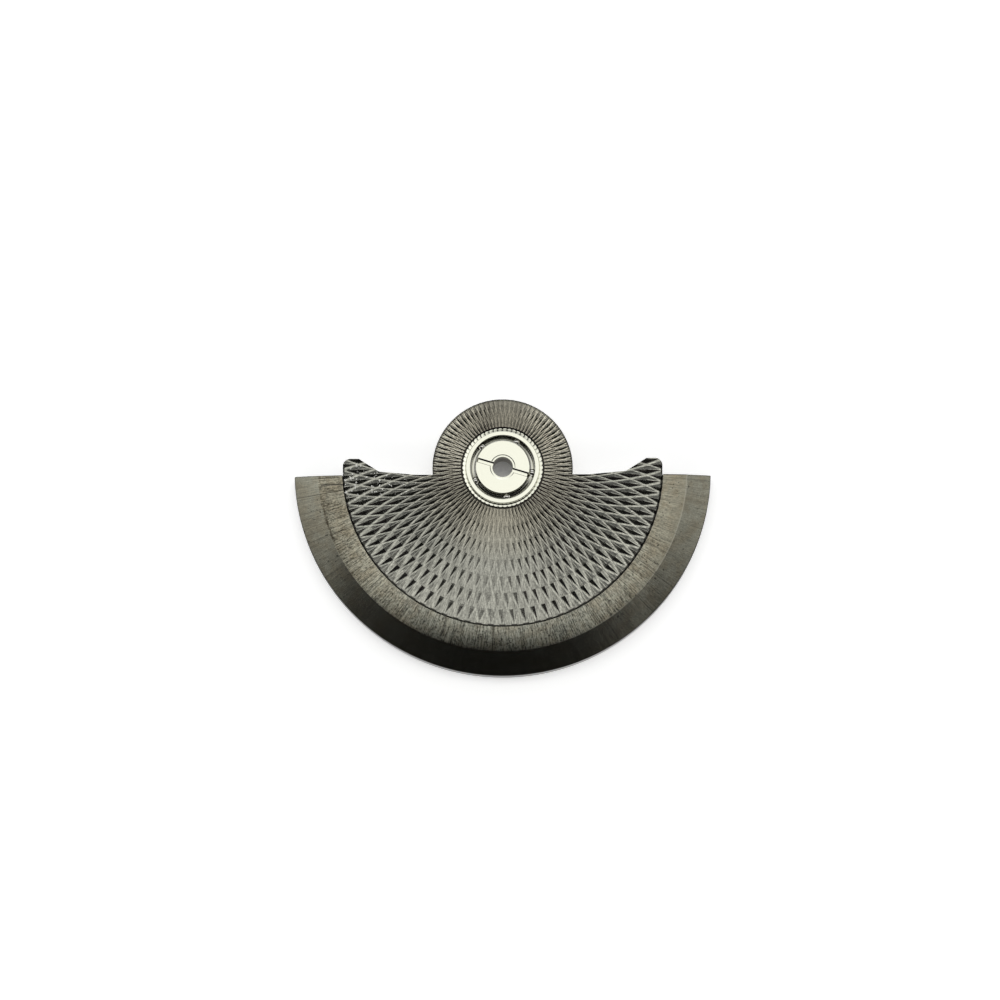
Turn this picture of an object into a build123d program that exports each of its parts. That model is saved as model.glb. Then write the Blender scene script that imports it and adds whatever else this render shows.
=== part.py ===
from build123d import *
from math import cos, radians, sin
import os

# Automatic watch rotor, for a self-winding wristwatch calibre of about 26 mm.
#
# Frame: the origin is on the bearing axis, at the seat that rests on the movement.
# +Z points up, out of the decorated side. The heavy rim hangs towards -Y.
# Lengths are in millimetres, and z values are heights above the seat.

# Decorated plate: hub lobe, two shoulders and two ears
plate_radius = 9.64
plate_top = 1.00              # height of its face above the seat
plate_thickness = 0.42
hub_radius = 4.235
chord_offset = 0.41           # the neck and the rim's end faces lie this far below the axis
ear_height = 0.59             # ear's flat top above the axis
kink_depth = 0.20             # where the ear's slope meets the shoulder, below the axis
ear_shoulder_share = 0.827    # places along the way from the hub's side to the ear's edge
kink_share = 0.598
shoulder_share = 0.186
ear_tip_fillet = 0.45
ear_shoulder_fillet = 0.50
kink_fillet = 0.30
shoulder_fillet = 3.00
hub_fillet = 0.30
plate_edge_break = 0.04       # on the upper edges of the outline and of the ring's seat

# Heavy rim, a half ring of tungsten alloy
band_width = 1.50             # brushed band beside the plate, level there and slightly crowned
band_crown = 0.125            # it falls this much on its way out to the border,
band_half_way_share = 0.35    # and this share of that by half way
bevel_width = 1.43            # wide sloping border along the outer edge
bevel_drop = 0.38
rim_thickness = 1.38
rim_below_plate = 0.02        # the band's inner edge lies this much under the plate's face
rebate_width = 1.05           # step that carries the plate's edge
ledge_height = 0.48           # metal left under the rebate
ledge_overhang = 0.60         # the thin ledge reaches this far outside the rebate
rim_edge_break = 0.05
band_edge_break = 0.03
end_step_length = 0.62        # shallow locating step at the left end
end_step_depth = 0.04

# Slotted core that the rotor turns on, and its through hole
hole_radius = 0.577
mouth_flare = 0.168           # the hole's mouth is this much wider at the head
hole_taper_depth = 0.84
relief_flare = 0.123          # it flares again from below, clear of the movement's centre post
relief_depth = 0.45
stub_wall = 0.20              # threaded stub below the seat
stub_length = 0.40
stub_edge = 0.05
seat_step = 0.20              # from the stub out to the stem
head_proud = 0.05             # head's face above the collar's face
head_edge = 0.04
slot_width = 0.27
slot_depth = 0.30
slot_angle = -17
slot_edge_break = 0.02

# Ball bearing: two cones inside, a grooved ring outside
cone_wall = 0.40              # lower cone, between the stem and the groove's floor
cone_foot_edge = 0.06
ball_count = 5
ball_radius = 0.275
ball_depth = 0.40             # ball centres below the collar's face
first_ball_angle = 62
race_play = 0.0125            # between a ball and each sloping race
groove_floor_play = 0.025     # between a ball and each groove's flat floor
head_lip_offset = 0.16        # head's edge and ring's lip, from the ball centres' circle
ring_lip_offset = 0.15

# Outer ring, with the knurled flange
collar_wall = 0.12            # collar and body, outside the groove's floor
body_wall = 0.16
collar_height = 0.19          # collar above the flange
collar_edge = 0.03
flange_overhang = 0.17
flange_thickness = 0.19
flange_proud = 0.01           # flange's face above the plate's face
knurl_count = 54
knurl_depth = 0.06

# Winding gear under the plate
gear_tooth_count = 52
gear_rim = 0.205              # metal between its bore and the feet of its teeth
gear_height = 0.40
gear_face_width = 0.30
tooth_tip_share = 0.38        # width of a tooth's tip and foot as shares of its pitch
tooth_foot_share = 0.66

# Ball cage, a crown with one finger between each two balls
cage_wall = 0.18
cage_base_thickness = 0.09
cage_finger_height = 0.22     # fingers end this far above the balls' centres
cage_round = 0.08
pocket_play = 0.02

# Fits shared by all pieces
seat_play = 0.01              # radial, between pieces pressed or bonded together
overrun = 0.5                 # cutting tools reach this far past a face

# Heights that follow from the sizes above
plate_bottom = plate_top - plate_thickness
rim_top = plate_top - rim_below_plate
rim_bottom = rim_top - rim_thickness
flange_top = plate_top + flange_proud
flange_bottom = flange_top - flange_thickness
collar_top = flange_top + collar_height
head_top = collar_top + head_proud
ball_height = collar_top - ball_depth
gear_bottom = plate_bottom - gear_height
pocket_radius = ball_radius + pocket_play
cage_top = ball_height + cage_finger_height
cage_bottom = ball_height - pocket_radius - cage_base_thickness

# Radii of the core and bearing, worked out from the hole outwards
mouth_radius = hole_radius + mouth_flare
relief_radius = hole_radius + relief_flare
stub_radius = relief_radius + stub_wall
stem_radius = stub_radius + seat_step
groove_reach = ball_radius + groove_floor_play
ball_orbit_radius = stem_radius + cone_wall + groove_reach
head_radius = ball_orbit_radius - head_lip_offset
ring_bore_radius = ball_orbit_radius + ring_lip_offset
cage_mid_radius = (head_radius + ring_bore_radius) / 2
collar_radius = ball_orbit_radius + groove_reach + collar_wall
body_radius = ball_orbit_radius + groove_reach + body_wall
flange_radius = body_radius + flange_overhang
gear_root_radius = body_radius + seat_play + gear_rim
gear_module = gear_root_radius / (gear_tooth_count / 2 - 1.25)
gear_tip_radius = gear_module * (gear_tooth_count / 2 + 1)

# Radii of the rim, worked out from the plate outwards
rebate_radius = plate_radius + seat_play
ledge_radius = rebate_radius - rebate_width
deep_radius = rebate_radius + ledge_overhang
bevel_radius = rebate_radius + band_width
rotor_radius = bevel_radius + bevel_width
band_fall_half_way = band_half_way_share * band_crown

# Corners of the plate's outline, on each side of the YZ plane
hub_side_x = (hub_radius**2 - chord_offset**2) ** 0.5
ear_edge_x = (plate_radius**2 - ear_height**2) ** 0.5
ear_reach = ear_edge_x - hub_side_x
ear_shoulder_x = hub_side_x + ear_shoulder_share * ear_reach
kink_x = hub_side_x + kink_share * ear_reach
shoulder_x = hub_side_x + shoulder_share * ear_reach

ball_angles = [first_ball_angle + 360 * i / ball_count for i in range(ball_count)]

os.makedirs("parts", exist_ok=True)


def on_circle(radius, angle):
    """Point on a circle about the axis, angle in degrees from +X."""
    return (radius * cos(radians(angle)), radius * sin(radians(angle)))


def knurl_outline():
    """Points of the flange's edge: one crest and one root for each tooth."""
    half_pitch = 180 / knurl_count
    points = []
    for tooth in range(knurl_count):
        points.append(on_circle(flange_radius, 2 * half_pitch * tooth))
        points.append(on_circle(flange_radius - knurl_depth, 2 * half_pitch * tooth + half_pitch))
    return points


def gear_outline():
    """Points of the gear's edge: foot, tip, tip and foot of each tooth."""
    pitch = 360 / gear_tooth_count
    corners = [
        (gear_root_radius, -tooth_foot_share / 2),
        (gear_tip_radius, -tooth_tip_share / 2),
        (gear_tip_radius, tooth_tip_share / 2),
        (gear_root_radius, tooth_foot_share / 2),
    ]
    return [
        on_circle(radius, pitch * (tooth + share))
        for tooth in range(gear_tooth_count)
        for radius, share in corners
    ]


def near_x(distance):
    """Selector for the vertices that stand this far from the YZ plane, on either side."""
    return lambda vertex: abs(abs(vertex.X) - distance) < seat_play


# Groove that the balls run in: two sloping races and a flat floor on each side
with BuildSketch(Plane.XZ) as groove_section:
    with Locations((ball_orbit_radius, ball_height)):
        Rectangle(2 * (ball_radius + race_play), 2 * (ball_radius + race_play), rotation=45)
        Rectangle(2 * groove_reach, 4 * groove_reach, mode=Mode.INTERSECT)

# Heavy rim
with BuildPart() as rim_weight:
    with BuildSketch(Plane.XZ):
        with BuildLine():
            ThreePointArc(
                (rebate_radius + band_edge_break, rim_top),
                ((rebate_radius + bevel_radius) / 2, rim_top - band_fall_half_way),
                (bevel_radius, rim_top - band_crown),
            )
            Polyline(
                (bevel_radius, rim_top - band_crown),
                (rotor_radius, rim_top - band_crown - bevel_drop),
                (rotor_radius, rim_bottom),
                (deep_radius, rim_bottom),
                (deep_radius, plate_bottom - ledge_height),
                (ledge_radius, plate_bottom - ledge_height),
                (ledge_radius, plate_bottom),
                (rebate_radius, plate_bottom),
                (rebate_radius, rim_top - band_edge_break),
                (rebate_radius + band_edge_break, rim_top),
            )
        make_face()
    revolve(axis=Axis.Z)
    bottom_edges = rim_weight.edges().group_by(Axis.Z)[0]
    chamfer(bottom_edges.sort_by(SortBy.RADIUS)[-1], length=rim_edge_break)
    split(bisect_by=Plane.XZ.offset(chord_offset), keep=Keep.TOP)
    # Shallow step in the flat band, at the left end only
    with Locations((-rotor_radius, -chord_offset, rim_top)):
        Box(
            rotor_radius,
            2 * end_step_length,
            2 * end_step_depth,
            align=(Align.MIN, Align.CENTER, Align.CENTER),
            mode=Mode.SUBTRACT,
        )
rim_weight.part.label = "rim_weight"
export_step(rim_weight.part, "parts/rim_weight.step")

# Plate with the hub
with BuildPart() as rotor_plate:
    with BuildSketch(Plane.XY.offset(plate_bottom)) as plate_outline:
        with BuildLine():
            left_top = Polyline(
                (-ear_edge_x, ear_height),
                (-ear_shoulder_x, ear_height),
                (-kink_x, -kink_depth),
                (-shoulder_x, -chord_offset),
                (0, -chord_offset),
            )
            mirror(left_top, about=Plane.YZ)
            ThreePointArc((-ear_edge_x, ear_height), (0, -plate_radius), (ear_edge_x, ear_height))
        make_face()
        Circle(hub_radius)
        corners = plate_outline.vertices()
        fillet(corners.filter_by(near_x(ear_edge_x)), ear_tip_fillet)
        fillet(corners.filter_by(near_x(ear_shoulder_x)), ear_shoulder_fillet)
        fillet(corners.filter_by(near_x(kink_x)), kink_fillet)
        fillet(corners.filter_by(near_x(shoulder_x)), shoulder_fillet)
        fillet(corners.filter_by(near_x(hub_side_x)), hub_fillet)
    extrude(amount=plate_thickness)
    with Locations((0, 0, plate_top)):
        CounterBoreHole(
            radius=body_radius + seat_play,
            counter_bore_radius=flange_radius + seat_play,
            counter_bore_depth=flange_thickness - flange_proud,
        )
    chamfer(rotor_plate.faces().sort_by(Axis.Z)[-1].edges(), length=plate_edge_break)
rotor_plate.part.label = "rotor_plate"
export_step(rotor_plate.part, "parts/rotor_plate.step")

# Outer ring: knurled flange, raised collar and body
with BuildPart() as bearing_outer_ring:
    with BuildSketch(Plane.XY.offset(flange_bottom)):
        Polygon(*knurl_outline(), align=None)
    extrude(amount=flange_thickness)
    with BuildSketch(Plane.XY.offset(gear_bottom)):
        Circle(body_radius)
    extrude(amount=flange_bottom - gear_bottom)
    with BuildSketch(Plane.XY.offset(flange_top)):
        Circle(collar_radius)
    extrude(amount=collar_height)
    with BuildSketch(Plane.XY.offset(gear_bottom)):
        Circle(ring_bore_radius)
    extrude(amount=collar_top - gear_bottom, mode=Mode.SUBTRACT)
    collar_rims = bearing_outer_ring.faces().sort_by(Axis.Z)[-1].edges()
    chamfer(collar_rims, length=collar_edge)
    revolve(groove_section.sketch, axis=Axis.Z, mode=Mode.SUBTRACT)
bearing_outer_ring.part.label = "bearing_outer_ring"
export_step(bearing_outer_ring.part, "parts/bearing_outer_ring.step")

# Gear that drives the winding train, pressed on the ring under the plate
with BuildPart() as winding_gear:
    with BuildSketch(Plane.XY.offset(gear_bottom)):
        Polygon(*gear_outline(), align=None)
    extrude(amount=gear_face_width)
    with BuildSketch(Plane.XY.offset(gear_bottom)):
        Circle(gear_root_radius)
    extrude(amount=plate_bottom - gear_bottom)
    with BuildSketch(Plane.XY.offset(gear_bottom)):
        Circle(body_radius + seat_play)
    extrude(amount=plate_bottom - gear_bottom, mode=Mode.SUBTRACT)
winding_gear.part.label = "winding_gear"
export_step(winding_gear.part, "parts/winding_gear.step")

# Five balls
for number, angle in enumerate(ball_angles, start=1):
    with BuildPart() as ball:
        with Locations((*on_circle(ball_orbit_radius, angle), ball_height)):
            Sphere(ball_radius)
    ball.part.label = f"ball_{number}"
    export_step(ball.part, f"parts/{ball.part.label}.step")

# Crown cage: a base ring under the balls, and pockets open to the top
with BuildPart() as ball_cage:
    with BuildSketch(Plane.XY.offset(cage_bottom)):
        Circle(cage_mid_radius + cage_wall / 2)
        Circle(cage_mid_radius - cage_wall / 2, mode=Mode.SUBTRACT)
    extrude(amount=cage_top - cage_bottom)
    fillet(ball_cage.faces().sort_by(Axis.Z)[-1].edges(), radius=cage_round)
    for angle in ball_angles:
        pocket_plane = Plane(
            origin=(0, 0, ball_height),
            x_dir=(*on_circle(1, angle + 90), 0),
            z_dir=(*on_circle(1, angle), 0),
        )
        with BuildSketch(pocket_plane):
            Circle(pocket_radius)
        extrude(amount=ring_bore_radius + overrun, mode=Mode.SUBTRACT)
ball_cage.part.label = "ball_cage"
export_step(ball_cage.part, "parts/ball_cage.step")

# Core: slotted head with the upper inner race, stem, and threaded stub
with BuildPart() as bearing_core:
    with BuildSketch(Plane.XZ):
        with BuildLine():
            Polyline(
                (relief_radius, -stub_length),
                (stub_radius - stub_edge, -stub_length),
                (stub_radius, stub_edge - stub_length),
                (stub_radius, 0),
                (stem_radius, 0),
                (stem_radius, ball_height),
                (head_radius, ball_height),
                (head_radius, head_top - head_edge),
                (head_radius - head_edge, head_top),
                (mouth_radius, head_top),
                (hole_radius, head_top - hole_taper_depth),
                (hole_radius, relief_depth - stub_length),
                close=True,
            )
        make_face()
    revolve(axis=Axis.Z)
    revolve(groove_section.sketch, axis=Axis.Z, mode=Mode.SUBTRACT)
    with BuildSketch(Plane.XY.offset(head_top)):
        Rectangle(2 * (head_radius + overrun), slot_width, rotation=slot_angle)
    extrude(amount=-slot_depth, mode=Mode.SUBTRACT)
    with BuildSketch(Plane.XY.offset(head_top)):
        Rectangle(2 * (head_radius + overrun), slot_width + 2 * slot_edge_break, rotation=slot_angle)
    extrude(amount=-slot_edge_break, taper=45, mode=Mode.SUBTRACT)
bearing_core.part.label = "bearing_core"
export_step(bearing_core.part, "parts/bearing_core.step")

# Lower inner race, pressed on the stem; its foot is the seat
with BuildPart() as lower_cone:
    with BuildSketch():
        Circle(head_radius)
        Circle(stem_radius + seat_play, mode=Mode.SUBTRACT)
    extrude(amount=ball_height)
    foot_edge = lower_cone.faces().sort_by(Axis.Z)[0].edges().sort_by(SortBy.RADIUS)[-1]
    chamfer(foot_edge, length=cone_foot_edge)
    revolve(groove_section.sketch, axis=Axis.Z, mode=Mode.SUBTRACT)
lower_cone.part.label = "lower_cone"
export_step(lower_cone.part, "parts/lower_cone.step")
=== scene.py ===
import math

import bmesh
import bpy
import numpy as np
from mathutils import Matrix, Vector


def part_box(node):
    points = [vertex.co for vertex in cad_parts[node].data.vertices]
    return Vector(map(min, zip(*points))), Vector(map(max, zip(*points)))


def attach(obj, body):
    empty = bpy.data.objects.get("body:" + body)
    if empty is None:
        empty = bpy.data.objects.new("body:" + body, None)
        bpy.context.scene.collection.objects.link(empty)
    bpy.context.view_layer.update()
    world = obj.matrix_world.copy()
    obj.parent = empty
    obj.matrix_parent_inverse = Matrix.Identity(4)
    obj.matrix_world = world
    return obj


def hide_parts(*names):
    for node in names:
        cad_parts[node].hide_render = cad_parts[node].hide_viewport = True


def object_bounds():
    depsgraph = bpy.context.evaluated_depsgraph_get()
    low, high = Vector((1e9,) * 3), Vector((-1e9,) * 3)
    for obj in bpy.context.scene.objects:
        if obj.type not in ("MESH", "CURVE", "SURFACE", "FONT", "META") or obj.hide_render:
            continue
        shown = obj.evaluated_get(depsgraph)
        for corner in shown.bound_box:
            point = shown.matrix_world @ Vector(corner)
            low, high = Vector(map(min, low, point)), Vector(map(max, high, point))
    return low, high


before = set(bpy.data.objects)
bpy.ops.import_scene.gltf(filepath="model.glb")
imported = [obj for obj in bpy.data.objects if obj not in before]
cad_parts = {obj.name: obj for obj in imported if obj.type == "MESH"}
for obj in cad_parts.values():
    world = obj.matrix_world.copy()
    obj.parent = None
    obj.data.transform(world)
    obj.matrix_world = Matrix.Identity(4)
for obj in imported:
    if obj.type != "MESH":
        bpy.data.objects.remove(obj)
cad_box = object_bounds()

MM = 0.001

# Camera, from the photograph: how far it tilts from straight above, and what it frames
view_tilt = 11.0
view_roll = -0.2
view_distance = 200 * MM
view_width = 60.1 * MM
view_centre = Vector((-0.165, -2.03, 1.25)) * MM
sensor_width = 36
clip_near = 1 * MM
clip_far = 10

# Studio: its light by the angle from overhead, forwards (negative) and backwards, and from left to right
studio_level = 1.45
light_front_to_back = [
    (-90, 1.5), (-62, 1.3), (-50, 0.02), (-5, 0.005), (3, 0.83), (9, 1.0),
    (20, 0.95), (28, 0.80), (36, 0.13), (48, 0.11), (60, 1.1), (90, 1.5),
]
light_left_to_right = [
    (-1.0, 1.2), (-0.88, 1.2), (-0.78, 0.28), (-0.70, 0.32), (-0.60, 0.79), (-0.46, 0.92), (-0.2, 0.98),
    (0.0, 1.0), (0.2, 1.2), (0.46, 0.89), (0.60, 0.79), (0.70, 0.32), (0.78, 0.28), (0.88, 1.2), (1.0, 1.2),
]
strip_slant = 5.0
cool_from = 34
warm_light = (1.0, 1.0, 0.98)
cool_light = (0.98, 1.0, 1.02)

# Walls of the studio: below one height they are plain, and up to the other they fade into its light
wall_top = 0.22
wall_fade = 0.36
wall_level = 1.0

# Paper that the rotor lies on, and how it glows: dimmed round the bearing's hole as a painted shadow, and
# full further out
paper_colour = (0.93, 0.93, 0.93, 1)
paper_glow = 0.52
shade_glow = 0.10
painted_shadow_radius = 2.0 * MM
painted_shadow_end_radius = 4.0 * MM
paper_radius = 2.5
paper_gap = 0.002 * MM
paper_segments = 96

# Guilloche on the plate: crossing spirals, cut deeper where they lie wider apart
spirals = 85
row_pitch = 1.0 * MM
first_row_radius = 2.704 * MM
spiral_phase = 0.199
cut_centre = (0.0, 0.055 * MM)
facet_slope = 0.245
facet_slope_gain = 0.4
first_round = 0.10
second_round = 0.15
steps_per_row = 8

# Sizes that the looks share with the solids
chord_offset = 0.41 * MM
rim_low, rim_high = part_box("rim_weight")
plate_low, plate_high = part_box("rotor_plate")
ring_low, ring_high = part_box("bearing_outer_ring")
core_low, core_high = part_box("bearing_core")
cage_low, cage_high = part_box("ball_cage")

# Plate: its seat for the flange, and how far slab and cutter reach past it
seam_radius = 2.52 * MM
slab_inner_radius = 2.0 * MM
slab_over = 0.2 * MM
seam_over = 0.1 * MM
peak_inset = 0.001 * MM

# Rim
rotor_radius = 12.58 * MM
bevel_radius = 11.15 * MM
rebate_radius = 9.65 * MM
ledge_radius = 8.60 * MM
deep_radius = 10.25 * MM
ledge_bottom = 0.10 * MM
band_crown = 0.155 * MM
band_half_way_share = 0.36
crown_steps = 10
bevel_drop = 0.35 * MM
border_start = 0.02 * MM
rim_edge = 0.05 * MM
end_edge = 0.04 * MM
end_step_length = 0.62 * MM
end_step_depth = 0.055 * MM
end_step_slope = 0.07 * MM
end_step_fade = 0.15 * MM
rim_segments = 360

# Core
hole_radius = 0.577 * MM
mouth_radius = 0.745 * MM
land_radius = 0.615 * MM
land_edge = 0.01 * MM
lip_width = 0.045 * MM
lip_depth = 0.022 * MM
hole_taper_depth = 0.84 * MM
hole_edge = 0.02 * MM
relief_radius = 0.70 * MM
relief_top = 0.05 * MM
stub_radius = 0.90 * MM
stub_lead = 0.04 * MM
stub_steps = 40
stem_radius = 1.10 * MM
head_radius = 1.64 * MM
race_centre = (1.80 * MM, 0.80 * MM)
race_reach = 0.30 * MM
race_half_diagonal = 0.4066 * MM
head_edge = 0.05 * MM
slot_width = 0.27 * MM
slot_depth = 0.30 * MM
slot_edge = 0.025 * MM
slot_angle = -17.0
slot_over = 0.1 * MM
thread_pitch = 0.20 * MM
thread_depth = 0.035 * MM
thread_fade = 0.05 * MM
thread_reach = 0.001 * MM
turned_segments = 256

# Ring
ring_bore = 1.95 * MM
groove_floor = 2.10 * MM
collar_radius = 2.22 * MM
body_radius = 2.26 * MM
flange_radius = 2.43 * MM
flange_top = 1.01 * MM
flange_bottom = 0.82 * MM
flange_dish = 0.024 * MM
collar_edge = 0.035 * MM
flange_edge = 0.025 * MM
knurl_count = 54
knurl_depth = 0.075 * MM
knurl_crest = 0.35
knurl_power = 1.5
knurl_steps = 10
knurl_inset = 0.02 * MM
knurl_lap = 0.01 * MM

# Cage
cage_inner = 1.705 * MM
cage_outer = 1.885 * MM
cage_edge = 0.025 * MM
cage_foot_edge = 0.02 * MM
cage_slope = 0.055 * MM
ball_height = 0.80 * MM
ball_orbit = 1.80 * MM
pocket_radius = 0.295 * MM
pocket_length = 1 * MM
pocket_segments = 48
ball_count = 5
ball_angles = [62 + 72 * number for number in range(ball_count)]

# Meshing: rounded corners, the flats that support them, and the angle that stays a hard edge
arc_steps = 4
support_share = 1.3
support_room = 0.45
sharp_angle = 24.0
join_reach = 1e-7

# Looks: masks. Ramps of a length take 0 to 1, which stands for 10 mm
mask_soft = 0.01 * MM
upright_flat = 0.90
upright_wall = 0.86
ramp_scale = 100.0
white = (1.0, 1.0, 1.0, 1)
brushed_height = 0.006 * MM

# Looks: rim, where x runs across the photograph
rim_skin = 0.62 * MM
rim_dark, rim_light = (0.088, 0.090, 0.079, 1), (0.52, 0.524, 0.448, 1)
rim_cloud = [(0.38, (0.90, 0.85, 0.785, 1)), (0.58, (1.0, 0.995, 0.97, 1))]
smooth_share = 0.72
smooth_end_start = 9.0 * MM
smooth_end_soft = 1.5 * MM
warm_start = 7.0 * MM
warm_soft = 3.0 * MM
warm_border_share = 0.6
warm_tint = (1.06, 1.0, 0.93, 1)
# Painted light and shade: the band and the border made lighter or darker from left to right, as light falls
# on them
band_painted_light = [
    (0.0, 0.90), (0.10, 0.96), (0.17, 1.22), (0.25, 1.17), (0.31, 0.94), (0.36, 0.95),
    (0.42, 0.86), (0.60, 0.86), (0.64, 0.93), (0.74, 1.10), (0.80, 0.95), (1.0, 0.95),
]
border_painted_light = [
    (0.0, 0.83), (0.08, 1.15), (0.14, 0.72), (0.25, 0.75), (0.68, 0.78),
    (0.78, 1.25), (0.83, 1.20), (0.87, 0.82), (0.92, 0.74), (1.0, 0.78),
]
# Painted highlight: a lighter line just inside the border's edge, on the right side
painted_highlight_inset = 0.03 * MM
painted_highlight_reach = 0.05 * MM
painted_highlight_start = 4.0 * MM
painted_highlight_soft = 3.0 * MM
painted_highlight_share = 0.5
painted_highlight_colour = (0.50, 0.49, 0.42, 1)
mark_colour = (0.04, 0.037, 0.03, 1)
# A darker irregular band along the border's edge at the rim's left end
left_dark_band_radius = 11.05 * MM
left_dark_band_width = 0.35 * MM
left_dark_band_end = -9.2 * MM
left_dark_band_end_width = 0.6 * MM
left_dark_band_colour = (0.06, 0.05, 0.035, 1)
# Painted shade: walls, edges and the rebate under the plate painted near black
wall_and_rebate_shade_colour = (0.035, 0.034, 0.03, 1)

# Looks: plate
plate_dark, plate_light = (0.14, 0.14, 0.124, 1), (0.42, 0.417, 0.364, 1)
near_stops = [(0.33, 1.0), (0.60, 0.0)]
near_tint = (1.04, 0.985, 0.91, 1)
# Painted light and shade: the plate lighter or darker by its distance across, and much lighter at the hub's
# sides
fan_painted_light = [(0.3, 0.93), (0.8, 1.13)]
hub_painted_light = [(0.10, 0.68), (0.29, 1.75)]
hub_radius = 4.235 * MM
hub_soft = 0.3 * MM
hub_fade = 1.2 * MM
hub_shade_line_reach = 0.15 * MM
hub_shade_line_end = -0.5 * MM
hub_shade_line_soft = 0.2 * MM
# Dark joints with painted shade: round the flange, at the plate's edge, in the low notches there, on walls
# and along the hub's top edge
outer_joint_shade_width = 0.045 * MM
notch_shade_depth = 0.045 * MM
notch_shade_reach = 0.10 * MM
notch_shade_soft = 0.03 * MM
joint_shade_share = 0.95
joint_shade_colour = (0.012, 0.012, 0.01, 1)
# Painted glints: white specks on the plate's left side
painted_glint_middle = -0.8 * MM
painted_glint_reach = 1.8 * MM
painted_glint_side = -5.5 * MM
painted_glint_side_soft = 2.0 * MM
painted_glint_colour = (0.95, 0.95, 0.90, 1)


class Nodes:
    """A node tree, with a short call for each kind of node that the materials use."""

    def __init__(self, tree):
        self.tree = tree
        tree.nodes.clear()

    def add(self, kind, inputs=(), **settings):
        """Adds a node, sets its properties and fills its inputs by name or number."""
        made = self.tree.nodes.new(kind)
        for name, value in settings.items():
            setattr(made, name, value)
        for name, value in dict(inputs).items():
            self.put(made.inputs[name], value)
        return made

    def put(self, socket, value):
        """Links an output to the socket, or sets the socket's own value."""
        if isinstance(value, bpy.types.NodeSocket):
            self.tree.links.new(value, socket)
        else:
            socket.default_value = value

    def math(self, operation, *values):
        return self.add("ShaderNodeMath", enumerate(values), operation=operation).outputs[0]

    def plus(self, one, other):
        return self.math("ADD", one, other)

    def minus(self, one, other):
        return self.math("SUBTRACT", one, other)

    def times(self, one, *others):
        for other in others:
            one = self.math("MULTIPLY", one, other)
        return one

    def most(self, one, *others):
        for other in others:
            one = self.math("MAXIMUM", one, other)
        return one

    def size(self, value):
        return self.math("ABSOLUTE", value)

    def total(self, *parts):
        """Sum of values, each times its weight."""
        result, *others = [self.times(value, weight) for value, weight in parts]
        for other in others:
            result = self.plus(result, other)
        return result

    def ramp(self, value, stops):
        """Colour ramp. Each stop is a position and a grey level or a colour."""
        made = self.add("ShaderNodeValToRGB", {0: value})
        elements = made.color_ramp.elements
        while len(elements) < len(stops):
            elements.new(1)
        for element, (place, level) in zip(elements, stops):
            element.position = place
            element.color = level if isinstance(level, tuple) else (level, level, level, 1)
        return made.outputs[0]

    def remap(self, value, start, end, low=0.0, high=1.0):
        """Maps start to end onto low to high, and holds the ends beyond them."""
        made = self.add("ShaderNodeMapRange", {0: value, 1: start, 2: end, 3: low, 4: high})
        return made.outputs[0]

    def spread(self, value, low, high):
        """Maps a value from 0 to 1 onto a range."""
        return self.remap(value, 0.0, 1.0, low, high)

    def above(self, value, edge, soft=mask_soft):
        """1 above an edge and 0 below it."""
        return self.remap(value, edge - soft, edge + soft)

    def below(self, value, edge, soft=mask_soft):
        """1 below an edge and 0 above it."""
        return self.remap(value, edge + soft, edge - soft)

    def ring(self, value, middle, reach):
        """1 at the middle, falling to 0 at the reach on either side."""
        return self.remap(self.size(self.minus(value, middle)), reach, 0.0)

    def steep(self):
        """1 on edges and walls, 0 on the faces that lie nearly flat."""
        normal = self.add("ShaderNodeTexCoord").outputs["Normal"]
        upright = self.size(self.add("ShaderNodeSeparateXYZ", {0: normal}).outputs[2])
        return self.remap(upright, upright_flat, upright_wall)

    def mix(self, share, one, other, kind="MIX"):
        made = self.add("ShaderNodeMix", data_type="RGBA", blend_type=kind)
        for socket, value in zip([made.inputs[0], made.inputs[6], made.inputs[7]], [share, one, other]):
            self.put(socket, value)
        return made.outputs[2]

    def tinted(self, colour, tint):
        return self.mix(1.0, colour, tint, "MULTIPLY")

    def where(self):
        return self.add("ShaderNodeTexCoord").outputs["Object"]

    def place(self):
        """Position on the piece, in metres, as x, y and z."""
        return self.add("ShaderNodeSeparateXYZ", {0: self.where()}).outputs

    def radius(self):
        """Distance from the axis, in metres."""
        x, y, z = self.place()
        return self.math("SQRT", self.plus(self.times(x, x), self.times(y, y)))

    def noise(self, vector, scale, detail, rough):
        made = self.add(
            "ShaderNodeTexNoise",
            {"Vector": vector, "Scale": scale, "Detail": detail, "Roughness": rough},
        )
        return made.outputs[0]

    def speckle(self, scale, detail, rough):
        """Noise that is alike in all directions."""
        return self.noise(self.where(), scale, detail, rough)

    def brushing(self, turn_scale, radius_scale, detail, rough, height_scale=0.0):
        """Noise with its own scales around the axis and along the radius, and so drawn out along one."""
        x, y, z = self.place()
        radius = self.radius()
        cos_part = self.times(self.math("DIVIDE", x, radius), turn_scale)
        sin_part = self.times(self.math("DIVIDE", y, radius), turn_scale)
        depth = self.total((radius, radius_scale), (z, height_scale))
        vector = self.add("ShaderNodeCombineXYZ", {0: cos_part, 1: sin_part, 2: depth}).outputs[0]
        return self.noise(vector, 1.0, detail, rough)

    def around(self):
        """Direction around the axis, in the world, for brushed gloss."""
        x, y, z = self.place()
        turned = self.add("ShaderNodeCombineXYZ", {0: self.times(y, -1.0), 1: x, 2: 0.0})
        made = self.add(
            "ShaderNodeVectorTransform",
            {0: turned.outputs[0]},
            vector_type="VECTOR",
            convert_from="OBJECT",
            convert_to="WORLD",
        )
        return made.outputs[0]

    def bump(self, height, distance):
        return self.add("ShaderNodeBump", {"Height": height, "Distance": distance}).outputs[0]


def metal(name, build):
    """Material of bare metal. build returns the shader's inputs by name."""
    material = bpy.data.materials.new(name)
    material.use_nodes = True
    nodes = Nodes(material.node_tree)
    shader = nodes.add("ShaderNodeBsdfPrincipled", {"Metallic": 1.0})
    for socket, value in build(nodes).items():
        nodes.put(shader.inputs[socket], value)
    nodes.add("ShaderNodeOutputMaterial", {0: shader.outputs[0]})
    return material


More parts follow.
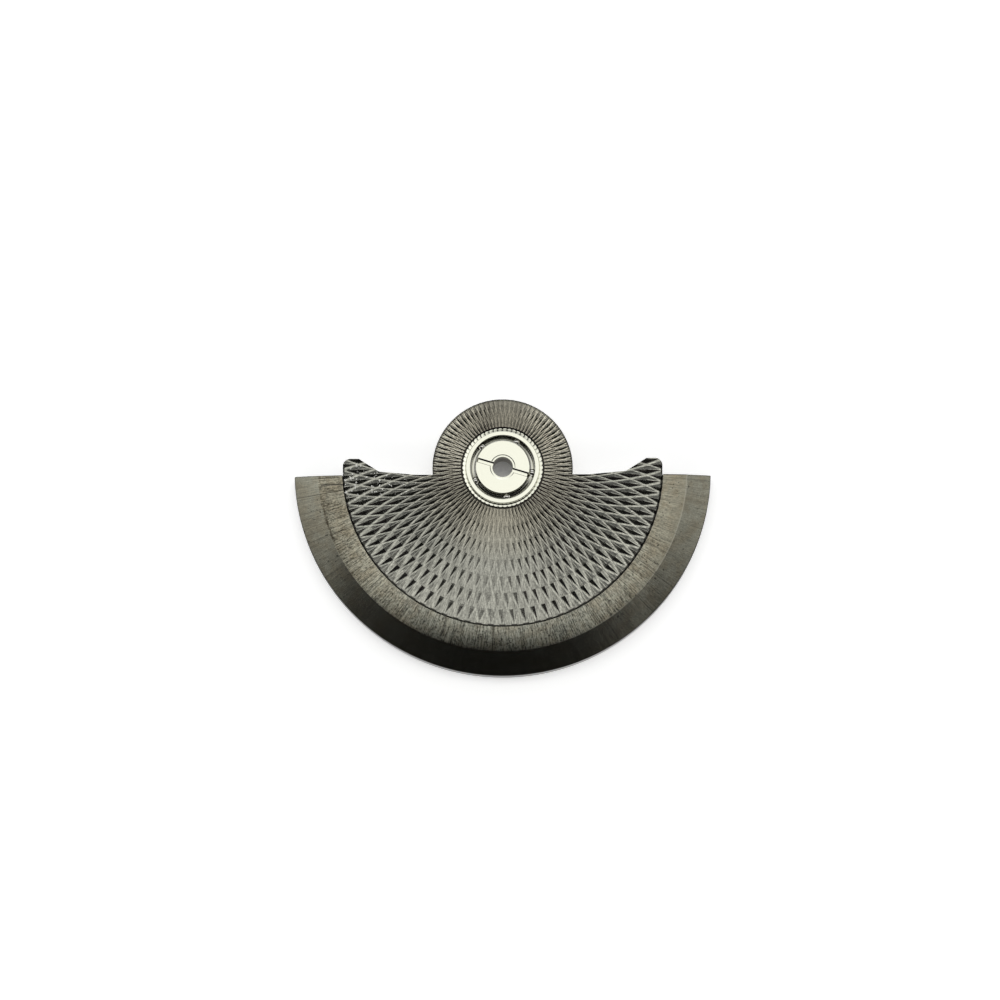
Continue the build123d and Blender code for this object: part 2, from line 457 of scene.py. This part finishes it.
def brushed_tungsten(nodes):
    """Rim: fine radial brushing in a warm grey, a smoother border, a few cracks, a darker band at the left
    end, painted light and shade, a painted highlight, and walls and edges painted dark as shade.
    """
    x, y, z = nodes.place()
    radius = nodes.radius()
    on_top = nodes.above(z, rim_high.z - rim_skin)
    on_border = nodes.times(nodes.above(radius, bevel_radius), on_top)
    smooth_end = nodes.above(x, smooth_end_start, smooth_end_soft)

    grain = nodes.brushing(300.0, 3600.0, 3.0, 0.7)
    lines = nodes.brushing(170.0, 600.0, 2.0, 0.6)
    speckle = nodes.speckle(9000.0, 2.0, 0.7)
    texture = nodes.total((grain, 0.45), (lines, 0.30), (speckle, 0.25))
    contrast = nodes.minus(1.0, nodes.times(nodes.most(on_border, smooth_end), smooth_share))
    texture = nodes.plus(nodes.times(nodes.minus(texture, 0.5), contrast), 0.5)
    colour = nodes.mix(nodes.ramp(texture, [(0.43, 0.0), (0.57, 1.0)]), rim_dark, rim_light)

    cloud = nodes.brushing(14.0, 1500.0, 3.0, 0.55)
    colour = nodes.tinted(colour, nodes.ramp(cloud, rim_cloud))
    warm = nodes.above(nodes.size(x), warm_start, warm_soft)
    warm = nodes.times(warm, nodes.minus(1.0, nodes.times(on_border, warm_border_share)))
    colour = nodes.mix(warm, colour, nodes.tinted(colour, warm_tint))
    # Painted light and shade across the rim, from left to right
    across = nodes.remap(x, -rotor_radius, rotor_radius)
    painted_light_tone = nodes.mix(on_border, nodes.ramp(across, band_painted_light), nodes.ramp(across, border_painted_light))
    colour = nodes.tinted(colour, painted_light_tone)

    # Painted highlight along the border's edge, on the right side
    painted_highlight = nodes.ring(radius, bevel_radius - painted_highlight_inset, painted_highlight_reach)
    right_side = nodes.above(x, painted_highlight_start, painted_highlight_soft)
    painted_highlight = nodes.times(painted_highlight, on_top, right_side, painted_highlight_share)
    colour = nodes.mix(painted_highlight, colour, painted_highlight_colour)
    cracks = nodes.ramp(nodes.brushing(260.0, 170.0, 0.0, 0.5), [(0.68, 0.0), (0.74, 0.6)])
    dots = nodes.ramp(nodes.speckle(7000.0, 0.0, 0.5), [(0.76, 0.0), (0.80, 0.8)])
    colour = nodes.mix(nodes.most(cracks, dots), colour, mark_colour)

    # Darker irregular band along the border's edge at the left end
    patch = nodes.brushing(16.0, 2500.0, 3.0, 0.6)
    left_dark_band = nodes.ring(radius, left_dark_band_radius, left_dark_band_width)
    left_dark_band = nodes.times(left_dark_band, nodes.below(x, left_dark_band_end, left_dark_band_end_width))
    left_dark_band = nodes.total((left_dark_band, 0.4), (patch, 0.75), (speckle, 0.35))
    left_dark_band = nodes.times(nodes.ramp(left_dark_band, [(0.90, 0.0), (0.98, 0.9)]), on_top)
    colour = nodes.mix(left_dark_band, colour, left_dark_band_colour)
    # Painted shade: the rebate and all steep walls and edges made near black
    inner = nodes.times(nodes.below(radius, rebate_radius + mask_soft), on_top)
    colour = nodes.mix(nodes.most(nodes.steep(), inner), colour, wall_and_rebate_shade_colour)
    return {
        "Base Color": colour,
        "Roughness": nodes.minus(nodes.spread(grain, 0.26, 0.36), nodes.times(on_border, 0.08)),
        "Anisotropic": 0.85,
        "Tangent": nodes.around(),
        "Normal": nodes.bump(texture, brushed_height),
    }


def cut_brass(nodes):
    """Plate: dark plated metal, cut all over, with radial brushing, painted light and shade, dark joints
    with painted shade in the gaps and on edges, and a few painted glints.
    """
    x, y, z = nodes.place()
    radius = nodes.radius()
    fine = nodes.brushing(200.0, 2200.0, 4.0, 0.7)
    fine = nodes.total((fine, 0.72), (nodes.speckle(9000.0, 2.0, 0.7), 0.28))
    colour = nodes.mix(nodes.ramp(fine, [(0.38, 0.0), (0.62, 1.0)]), plate_dark, plate_light)

    near = nodes.ramp(nodes.times(radius, ramp_scale), near_stops)
    colour = nodes.tinted(colour, nodes.mix(near, white, near_tint))
    # Painted light and shade by the distance across, stronger on the hub
    away = nodes.times(nodes.size(x), ramp_scale)
    on_hub = nodes.times(nodes.below(radius, hub_radius + hub_soft, hub_soft), nodes.above(y, 0.0, hub_fade))
    painted_light_tone = nodes.mix(on_hub, nodes.ramp(away, fan_painted_light), nodes.ramp(away, hub_painted_light))
    colour = nodes.tinted(colour, painted_light_tone)

    # Dark joints with painted shade in the gaps, notches, walls and along the hub's top edge
    inner = nodes.below(radius, seam_radius + mask_soft)
    outer = nodes.above(radius, plate_high.x - outer_joint_shade_width)
    notch_shade = nodes.below(z, plate_high.z - notch_shade_depth)
    notch_shade = nodes.times(notch_shade, nodes.above(radius, plate_high.x - notch_shade_reach, notch_shade_soft))
    # Painted shade line along the hub's top edge
    edge = nodes.ring(radius, hub_radius, hub_shade_line_reach)
    edge = nodes.times(edge, nodes.above(y, hub_shade_line_end, hub_shade_line_soft))
    joints_and_shade = nodes.most(inner, outer, nodes.steep(), notch_shade, edge)
    colour = nodes.mix(nodes.times(joints_and_shade, joint_shade_share), colour, joint_shade_colour)

    # Painted glints: white specks with rougher gloss, on the plate's left side
    glint_region = nodes.times(
        nodes.ring(y, painted_glint_middle, painted_glint_reach),
        nodes.below(x, painted_glint_side, painted_glint_side_soft),
        nodes.above(z, flange_bottom),
    )
    painted_glints = nodes.times(nodes.ramp(nodes.speckle(8000.0, 0.0, 0.5), [(0.71, 0.0), (0.75, 1.0)]), glint_region)
    colour = nodes.mix(painted_glints, colour, painted_glint_colour)
    return {
        "Base Color": colour,
        "Roughness": nodes.most(nodes.spread(fine, 0.11, 0.20), nodes.times(painted_glints, 0.7)),
        "Normal": nodes.bump(fine, brushed_height),
    }


def polished_steel(nodes):
    """Bearing: bright polish with the faintest turning marks, and painted shade inside the hole."""
    marks = nodes.brushing(2.0, 60000.0, 2.0, 0.5, 60000.0)
    colour = nodes.mix(marks, (0.62, 0.62, 0.53, 1), (0.68, 0.68, 0.59, 1))
    # Painted shade inside the hole
    painted_hole_shade = nodes.below(nodes.radius(), land_radius - mask_soft)
    return {
        "Base Color": nodes.mix(painted_hole_shade, colour, (0.27, 0.25, 0.21, 1)),
        "Roughness": nodes.spread(marks, 0.06, 0.12),
        "Normal": nodes.bump(marks, 0.0001 * MM),
    }


def cage_metal(nodes):
    """Cage: rumbled bright metal under a film of oil."""
    cloud = nodes.brushing(6.0, 3000.0, 3.0, 0.5, 3000.0)
    colour = nodes.mix(cloud, (0.52, 0.515, 0.46, 1), (0.66, 0.655, 0.58, 1))
    return {"Base Color": colour, "Roughness": nodes.spread(cloud, 0.10, 0.18)}


def gear_steel(nodes):
    """Winding gear: milled steel."""
    marks = nodes.brushing(3.0, 30000.0, 3.0, 0.6)
    return {
        "Base Color": nodes.mix(marks, (0.42, 0.41, 0.38, 1), (0.55, 0.54, 0.50, 1)),
        "Roughness": nodes.spread(marks, 0.22, 0.34),
        "Normal": nodes.bump(marks, 0.0005 * MM),
    }


def ball_steel(nodes):
    """Balls: mirror polish, a little darker where oil lies on them."""
    cloud = nodes.speckle(3000.0, 2.0, 0.5)
    colour = nodes.mix(cloud, (0.50, 0.49, 0.46, 1), (0.60, 0.59, 0.56, 1))
    return {"Base Color": colour, "Roughness": nodes.spread(cloud, 0.05, 0.10)}


def dress(thing, material):
    """Gives a piece or a node one material."""
    thing.data.materials.clear()
    thing.data.materials.append(material)


def linked(name, data):
    """New object in the scene."""
    made = bpy.data.objects.new(name, data)
    bpy.context.scene.collection.objects.link(made)
    return made


def finished(name, shape):
    """New object in the scene with the shape's mesh."""
    mesh = bpy.data.meshes.new(name)
    shape.to_mesh(mesh)
    shape.free()
    return linked(name, mesh)


def solid(name, vertices, faces):
    """Object with a closed mesh whose faces all look outwards."""
    shape = bmesh.new()
    corners = [shape.verts.new(tuple(v)) for v in vertices]
    for face in faces:
        shape.faces.new([corners[index] for index in face])
    bmesh.ops.recalc_face_normals(shape, faces=shape.faces)
    return finished(name, shape)


def combine(made, cutter, operation):
    """Cuts or keeps what the cutter covers, and removes the cutter."""
    step = made.modifiers.new("cut", "BOOLEAN")
    step.operation = operation
    step.solver = "MANIFOLD"
    step.object = cutter
    bpy.context.view_layer.update()
    result = made.evaluated_get(bpy.context.evaluated_depsgraph_get())
    mesh = bpy.data.meshes.new_from_object(result)
    made.modifiers.clear()
    made.data = mesh
    bpy.data.objects.remove(cutter)


def settle(made, body, slot, material, *nodes, smooth=True):
    """Gives a finished shape its material, its body and the nodes that it stands for."""
    if smooth:
        made.data.shade_smooth()
        made.data.set_sharp_from_angle(angle=math.radians(sharp_angle))
    else:
        made.data.shade_flat()
    dress(made, materials[material])
    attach(made, body)
    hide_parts(*nodes)


def rounded(corners):
    """Outline in radius and height with its corners rounded. A corner is (radius, height, rounding)."""
    points = []
    for index, (across, height, rounding) in enumerate(corners):
        corner = Vector((across, height))
        if not rounding:
            points.append(corner)
            continue
        before = Vector(corners[index - 1][:2]) - corner
        after = Vector(corners[(index + 1) % len(corners)][:2]) - corner
        room = support_room * min(before.length, after.length)
        before.normalize()
        after.normalize()
        half_turn = before.angle(after) / 2
        centre = corner + (before + after).normalized() * rounding / math.sin(half_turn)
        reach = rounding / math.tan(half_turn)
        start, end = corner + before * reach - centre, corner + after * reach - centre
        arc = [
            centre + start.lerp(end, step / arc_steps).normalized() * rounding
            for step in range(arc_steps + 1)
        ]
        if support_share * reach < room:
            arc = [corner + before * support_share * reach, *arc, corner + after * support_share * reach]
        points += arc
    return points


def crown(inner, outer, top):
    """Points across the band, which falls ever more steeply towards the border."""
    first, second = 4 * band_half_way_share - 1, 2 - 4 * band_half_way_share
    shares = [k / crown_steps for k in range(crown_steps + 1)]
    return [
        (inner + (outer - inner) * s, top - band_crown * (first * s + second * s * s), 0) for s in shares
    ]


def turned(name, outline, segments, reshape=None):
    """Solid turned from a closed outline. reshape may move its points, by angle, radius and height."""
    profile = np.array([tuple(p) for p in outline])
    angle = 2 * math.pi * np.arange(segments)[:, None] / segments
    radius = profile[None, :, 0] + 0 * angle
    height = profile[None, :, 1] + 0 * angle
    if reshape:
        radius, height = reshape(angle + 0 * radius, radius, height)
    points = np.stack([radius * np.cos(angle), radius * np.sin(angle), height], axis=-1).reshape(-1, 3)
    count = len(profile)
    faces = []
    for turn in range(segments):
        here, there = turn * count, (turn + 1) % segments * count
        for index in range(count):
            after = (index + 1) % count
            faces.append((here + index, here + after, there + after, there + index))
    return solid(name, points, faces)


def cut_depth(turns, rows, radius):
    """Depth of the cut below the peaks. All grooves have round floors, wider ones in the second family."""
    spacing = 1 / np.hypot(spirals / (2 * math.pi * radius), 0.5 / row_pitch)
    rise = facet_slope * (plate_high.x / radius) ** facet_slope_gain * spacing

    def climb(groove, bend):
        away = abs(groove - np.round(groove))
        return np.where(away < bend, away**2 / (2 * bend), away - bend / 2)

    first = climb(turns + rows / 2, first_round)
    second = climb(turns - rows / 2, second_round)
    return rise * (0.5 - second_round / 2 - np.minimum(first, second))


def crease_falls(column, row):
    """True where a cell of the grid belongs to a groove that runs from its next column to its next row."""
    period = 2 * steps_per_row
    falling = (column + row + 1) % period
    rising = (column - row) % period
    return min(falling, period - falling) < min(rising, period - rising)


def guilloche_slab(low, high, inner, outer):
    """Closed ring whose top is cut with the guilloche, split along the grooves."""
    columns = 2 * steps_per_row * spirals
    first = math.floor((inner - first_row_radius) / row_pitch * steps_per_row)
    last = math.ceil((outer - first_row_radius) / row_pitch * steps_per_row)
    rings = last - first + 1
    rows = (np.arange(first, last + 1) / steps_per_row)[:, None]
    turns = (np.arange(columns) / (2 * steps_per_row))[None, :]
    radius = first_row_radius + rows * row_pitch + 0 * turns
    angle = 2 * math.pi * (turns + spiral_phase) / spirals + 0 * rows
    height = high - cut_depth(turns, rows, radius)
    x, y = radius * np.cos(angle) + cut_centre[0], radius * np.sin(angle) + cut_centre[1]
    top = np.stack([x, y, height], axis=-1)
    edges = top[[0, -1]].copy()
    edges[..., 2] = low
    vertices = np.concatenate([top.reshape(-1, 3), edges.reshape(-1, 3)])
    under_inner = rings * columns
    under_outer = under_inner + columns
    outer_top = under_inner - columns
    faces = []
    for ring in range(rings - 1):
        for column in range(columns):
            a, b = ring * columns + column, ring * columns + (column + 1) % columns
            c, d = a + columns, b + columns
            if crease_falls(column, first + ring):
                faces += [(a, b, c), (b, d, c)]
            else:
                faces += [(a, b, d), (a, d, c)]
    for column in range(columns):
        after = (column + 1) % columns
        faces.append((column, after, under_inner + after, under_inner + column))
        faces.append((outer_top + after, outer_top + column, under_outer + column, under_outer + after))
        faces.append((under_inner + column, under_inner + after, under_outer + after, under_outer + column))
    return solid("guilloche_plate", vertices, faces)


def node_copy(node):
    """Copy of a node's mesh with its split vertices joined, as a loose object."""
    made = linked(node + "_copy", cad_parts[node].data.copy())
    shape = bmesh.new()
    shape.from_mesh(made.data)
    bmesh.ops.remove_doubles(shape, verts=shape.verts, dist=join_reach)
    shape.to_mesh(made.data)
    shape.free()
    return made


def make_plate():
    """Plate: the guilloche slab, kept where the solid plate is, with a narrow seam round the flange."""
    plate = guilloche_slab(
        plate_low.z - slab_over, plate_high.z - peak_inset, slab_inner_radius, plate_high.x + slab_over
    )
    combine(plate, node_copy("rotor_plate"), "INTERSECT")
    inner, outer, floor, top = slab_inner_radius, seam_radius, flange_bottom, plate_high.z + seam_over
    seam = turned("seam", [(inner, floor), (outer, floor), (outer, top), (inner, top)], turned_segments)
    combine(plate, seam, "DIFFERENCE")
    settle(plate, "rotor", "plated_brass", "plate", "rotor_plate", smooth=False)


def make_rim():
    """Rim: half ring with a crowned band, a sloping border and a locating step at its left end."""
    rim_top = rim_high.z
    crown_end = rim_top - band_crown
    border_width = rotor_radius - bevel_radius
    outline = rounded(
        [
            (ledge_radius, plate_low.z, 0),
            (rebate_radius, plate_low.z, 0),
            (rebate_radius, rim_top - end_edge, 0),
            *crown(rebate_radius + end_edge, bevel_radius, rim_top),
            (bevel_radius + border_start, crown_end - bevel_drop * border_start / border_width, 0),
            (rotor_radius, crown_end - bevel_drop, rim_edge),
            (rotor_radius, rim_low.z, rim_edge),
            (deep_radius, rim_low.z, rim_edge),
            (deep_radius, ledge_bottom, 0),
            (ledge_radius, ledge_bottom, 0),
        ]
    )
    profile = np.array([tuple(p) for p in outline])
    middle = np.array([(rebate_radius + rotor_radius) / 2, (rim_top + rim_low.z) / 2])
    inward = np.sign(middle - profile) * end_edge
    near = [chord_offset, chord_offset + end_edge, chord_offset + end_step_length - end_step_slope]
    near += [chord_offset + end_step_length]
    stations = [("left", offset) for offset in near]
    stations += [("between", k / rim_segments) for k in range(1, rim_segments)]
    stations += [("right", offset) for offset in reversed(near)]
    rings = []
    for number, (kind, value) in enumerate(stations):
        points = profile.copy()
        if number in (0, len(stations) - 1):
            points += inward
        if kind == "left" and value < near[-1]:
            on_band = np.clip((bevel_radius - points[:, 0]) / end_step_fade, 0, 1)
            on_band *= points[:, 1] > crown_end - bevel_drop
            on_band *= points[:, 0] > rebate_radius - rim_edge
            points[:, 1] -= end_step_depth * on_band
        radius = points[:, 0]
        if kind == "between":
            start = math.pi + np.arcsin(near[-1] / radius)
            end = 2 * math.pi - np.arcsin(near[-1] / radius)
            angle = start + (end - start) * value
        elif kind == "left":
            angle = math.pi + np.arcsin(value / radius)
        else:
            angle = 2 * math.pi - np.arcsin(value / radius)
        rings.append(np.stack([radius * np.cos(angle), radius * np.sin(angle), points[:, 1]], axis=-1))
    count = len(profile)
    faces = [tuple(range(count)), tuple((len(rings) - 1) * count + k for k in range(count))]
    for ring in range(len(rings) - 1):
        for index in range(count):
            after = (index + 1) % count
            here, there = ring * count, (ring + 1) * count
            faces.append((here + index, here + after, there + after, there + index))
    rim = solid("brushed_rim", np.concatenate(rings), faces)
    settle(rim, "rotor", "tungsten_rim", "rim", "rim_weight")


def make_ring():
    """Outer ring of the bearing, with its knurled flange."""

    def knurl(angle, radius, height):
        place = angle * knurl_count / (2 * math.pi)
        away = abs(place - np.round(place)) * 2
        valley = np.clip((away - knurl_crest) / (1 - knurl_crest), 0, 1) ** knurl_power
        on_flange = (radius > body_radius + knurl_inset) * (height > flange_bottom - knurl_lap)
        share = np.clip((radius - body_radius) / (flange_radius - body_radius), 0, 1)
        return radius - knurl_depth * valley * on_flange * share, height

    centre, reach = race_centre, race_reach
    top_edge = centre[1] + race_half_diagonal - (ring_bore - centre[0])
    low_edge = centre[1] - race_half_diagonal + (ring_bore - centre[0])
    outline = rounded(
        [
            (ring_bore, ring_high.z, collar_edge),
            (ring_bore, top_edge, 0),
            (groove_floor, centre[1] + race_half_diagonal - reach, 0),
            (groove_floor, centre[1] - race_half_diagonal + reach, 0),
            (ring_bore, low_edge, 0),
            (ring_bore, ring_low.z, 0),
            (body_radius, ring_low.z, 0),
            (body_radius, flange_bottom, 0),
            (flange_radius, flange_bottom, 0),
            (flange_radius, flange_top, flange_edge),
            (collar_radius, flange_top - flange_dish, 0),
            (collar_radius, ring_high.z, collar_edge),
        ]
    )
    ring = turned("knurled_ring", outline, knurl_count * knurl_steps, knurl)
    settle(ring, "rotor", "polished_steel", "steel", "bearing_outer_ring")


def make_core():
    """Slotted core with its threaded stub."""

    def thread(angle, radius, height):
        place = height / thread_pitch - angle / (2 * math.pi)
        ridge = 1 - 2 * abs(place - np.floor(place) - 0.5)
        fade = np.clip(np.minimum(height - core_low.z, -height) / thread_fade, 0, 1)
        on_stub = abs(radius - stub_radius) < thread_reach
        return radius - thread_depth * (1 - ridge) * fade * on_stub, height

    centre, reach = race_centre, race_reach
    under_head = centre[1] + race_half_diagonal
    stub_wall = [
        (stub_radius, core_low.z * (1 - k / stub_steps), 0) for k in range(1, stub_steps + 1)
    ]
    outline = rounded(
        [
            (relief_radius, core_low.z, 0),
            (stub_radius - stub_lead, core_low.z, 0),
            *stub_wall,
            (stem_radius, 0, 0),
            (stem_radius, centre[1], 0),
            (centre[0] - reach, centre[1], 0),
            (centre[0] - reach, under_head - reach, 0),
            (head_radius, under_head - (centre[0] - head_radius), 0),
            (head_radius, core_high.z, head_edge),
            (mouth_radius + lip_width / 2, core_high.z, 0),
            (mouth_radius - lip_width / 2, core_high.z - lip_depth, 0),
            (land_radius, core_high.z - lip_depth, land_edge),
            (hole_radius, core_high.z - hole_taper_depth, hole_edge),
            (hole_radius, relief_top, hole_edge),
        ]
    )
    core = turned("slotted_core", outline, turned_segments, thread)
    top, half = core_high.z, slot_width / 2
    reach = head_radius + slot_over
    section = [
        (-half, top - slot_depth),
        (half, top - slot_depth),
        (half, top - slot_edge),
        (half + slot_edge + slot_over, top + slot_over),
        (-half - slot_edge - slot_over, top + slot_over),
        (-half, top - slot_edge),
    ]
    turn = Matrix.Rotation(math.radians(slot_angle), 3, "Z")
    vertices = [turn @ Vector((side * reach, y, z)) for side in (-1, 1) for y, z in section]
    count = len(section)
    faces = [tuple(range(count)), tuple(range(count, 2 * count))]
    faces += [(k, (k + 1) % count, (k + 1) % count + count, k + count) for k in range(count)]
    combine(core, solid("slot_cutter", vertices, faces), "DIFFERENCE")
    settle(core, "bearing_inner", "polished_steel", "steel", "bearing_core")


def make_cage():
    """Crown cage whose top slopes outwards, with a pocket for each ball."""
    cage = turned(
        "crown_cage",
        rounded(
            [
                (cage_inner, cage_low.z, cage_foot_edge),
                (cage_outer, cage_low.z, cage_foot_edge),
                (cage_outer, cage_high.z - cage_slope, cage_edge),
                (cage_inner, cage_high.z, cage_edge),
            ]
        ),
        turned_segments,
    )
    for angle in ball_angles:
        shape = bmesh.new()
        bmesh.ops.create_cone(
            shape,
            cap_ends=True,
            segments=pocket_segments,
            radius1=pocket_radius,
            radius2=pocket_radius,
            depth=pocket_length,
        )
        spot = Matrix.Rotation(math.radians(angle), 4, "Z")
        spot = spot @ Matrix.Translation((ball_orbit, 0, ball_height)) @ Matrix.Rotation(math.pi / 2, 4, "Y")
        bmesh.ops.transform(shape, matrix=spot, verts=shape.verts)
        combine(cage, finished("pocket", shape), "DIFFERENCE")
    settle(cage, "cage", "cage_brass", "cage", "ball_cage")


def make_camera():
    """Camera at the photograph's angle."""
    data = bpy.data.cameras.new("camera")
    data.sensor_width = sensor_width
    data.lens = sensor_width * view_distance / view_width
    data.clip_start = clip_near
    data.clip_end = clip_far
    camera = linked("camera", data)
    tilt = math.radians(view_tilt)
    turn = Matrix.Rotation(tilt, 4, "X") @ Matrix.Rotation(math.radians(view_roll), 4, "Z")
    place = view_centre + Vector((0, -math.sin(tilt), math.cos(tilt))) * view_distance
    camera.matrix_world = Matrix.Translation(place) @ turn
    bpy.context.scene.camera = camera


def make_paper():
    """Pale floor that keeps the rotor's shadow, with a painted shadow in its glow round the bearing's hole.
    """
    shape = bmesh.new()
    bmesh.ops.create_circle(shape, cap_ends=True, segments=paper_segments, radius=paper_radius)
    paper = finished("paper", shape)
    paper.location.z = cad_box[0].z - paper_gap
    material = bpy.data.materials.new("paper")
    material.use_nodes = True
    nodes = Nodes(material.node_tree)
    matt = nodes.add("ShaderNodeBsdfDiffuse", {"Color": paper_colour})
    rays = nodes.add("ShaderNodeLightPath").outputs
    seen = nodes.most(rays["Is Camera Ray"], rays["Is Glossy Ray"], rays["Is Transmission Ray"])
    # Glow dimmed round the bearing's hole: a painted shadow
    glow_with_painted_shadow = nodes.remap(nodes.radius(), painted_shadow_radius, painted_shadow_end_radius, shade_glow, paper_glow)
    glow = nodes.add("ShaderNodeEmission", {"Strength": nodes.times(seen, glow_with_painted_shadow)})
    both = nodes.add("ShaderNodeAddShader", {0: matt.outputs[0], 1: glow.outputs[0]})
    nodes.add("ShaderNodeOutputMaterial", {0: both.outputs[0]})
    paper.data.materials.append(material)


def studio_tone(angle, level):
    """Colour of the studio at an angle from overhead: warm overhead and cooler behind."""
    tint = cool_light if angle >= cool_from else warm_light
    return (*[level * part for part in tint], 1)


def make_light():
    """Soft studio light: bright overhead, a dark strip in front of it, and pale walls all round."""
    world = bpy.data.worlds.new("studio")
    bpy.context.scene.world = world
    world.use_nodes = True
    nodes = Nodes(world.node_tree)
    where = nodes.add("ShaderNodeTexCoord").outputs["Generated"]
    x, y, z = nodes.add("ShaderNodeSeparateXYZ", {0: where}).outputs
    back = nodes.math("DEGREES", nodes.math("ARCTAN2", y, z))
    back = nodes.remap(nodes.plus(back, nodes.times(x, strip_slant)), -90.0, 90.0)
    stops = [((angle + 90) / 180, studio_tone(angle, level)) for angle, level in light_front_to_back]
    along = nodes.ramp(back, stops)
    stops = [((side + 1) / 2, level) for side, level in light_left_to_right]
    aside = nodes.ramp(nodes.remap(x, -1.0, 1.0), stops)
    walls = nodes.remap(z, wall_fade, wall_top)
    light = nodes.mix(walls, nodes.tinted(along, aside), (wall_level, wall_level, wall_level, 1))
    sky = nodes.add("ShaderNodeBackground", {"Color": light, "Strength": studio_level})
    nodes.add("ShaderNodeOutputWorld", {0: sky.outputs[0]})


scene = bpy.context.scene
scene.view_settings.view_transform = "Standard"

materials = {
    "rim": metal("brushed_tungsten", brushed_tungsten),
    "plate": metal("cut_brass", cut_brass),
    "steel": metal("polished_steel", polished_steel),
    "cage": metal("cage_metal", cage_metal),
    "gear": metal("gear_steel", gear_steel),
    "ball": metal("ball_steel", ball_steel),
}

dress(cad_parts["lower_cone"], materials["steel"])
dress(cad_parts["winding_gear"], materials["gear"])
for number in range(1, ball_count + 1):
    dress(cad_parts[f"ball_{number}"], materials["ball"])

make_plate()
make_rim()
make_ring()
make_core()
make_cage()
make_camera()
make_paper()
make_light()
